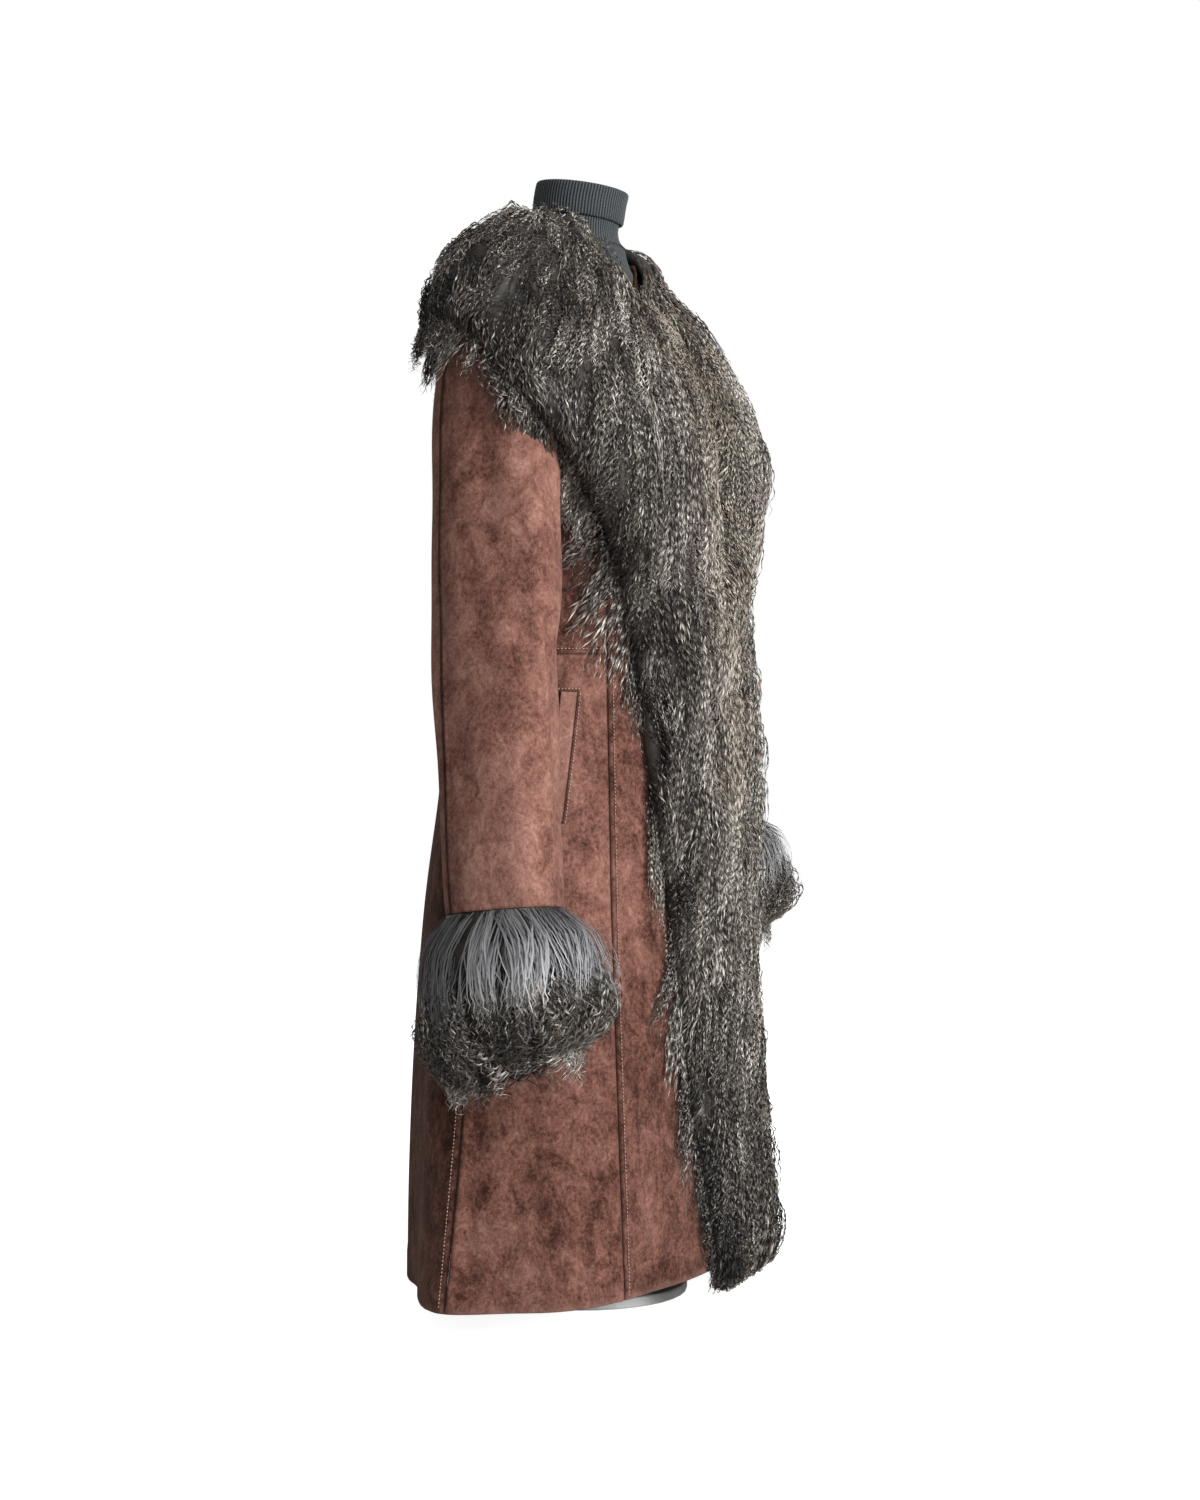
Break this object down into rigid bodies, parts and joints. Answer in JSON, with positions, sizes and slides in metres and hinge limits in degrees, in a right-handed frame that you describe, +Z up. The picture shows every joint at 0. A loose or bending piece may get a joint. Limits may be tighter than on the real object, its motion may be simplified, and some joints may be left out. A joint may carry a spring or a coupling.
{
  "type": "suede coat on dress form",
  "caption": "Long flared suede coat with a shaggy curled lamb shawl collar, front bands and cuffs, slanted welt pockets and set-in sleeves, standing on a limbless dress form.",
  "frame": {"origin": "centre of the underside of the form's round base, on the floor", "axes": "+Z up, -Y to the coat's front, +X to the wearer's left"},
  "size_m": [0.8092, 0.3519, 1.1171],
  "materials": {
    "suede": "napped suede, matt and mottled",
    "lamb": "long curled lamb, silky tips",
    "knit_cover": "ribbed knit",
    "stand_metal": "satin off-white"
  },
  "bodies": {
    "root": {"front_right": "suede", "front_left": "suede", "side_front_skirt_right": "suede", "side_front_skirt_left": "suede", "side_front_bodice_right": "suede", "side_front_bodice_left": "suede", "back_right": "suede", "back_left": "suede", "sleeve_top_right": "suede", "sleeve_top_left": "suede", "sleeve_under_right": "suede", "sleeve_under_left": "suede", "forearm_top_right": "suede", "forearm_top_left": "suede", "forearm_under_right": "suede", "forearm_under_left": "suede", "pocket_welt_right": "suede", "pocket_welt_left": "suede", "lapel_right": "lamb", "lapel_left": "lamb", "front_band_right": "lamb", "front_band_left": "lamb", "collar_back": "lamb", "cuff_right": "lamb", "cuff_left": "lamb", "form_torso": "knit_cover", "form_neck_band": "knit_cover", "form_pole": "stand_metal", "form_base": "stand_metal"}
  },
  "joints": []
}
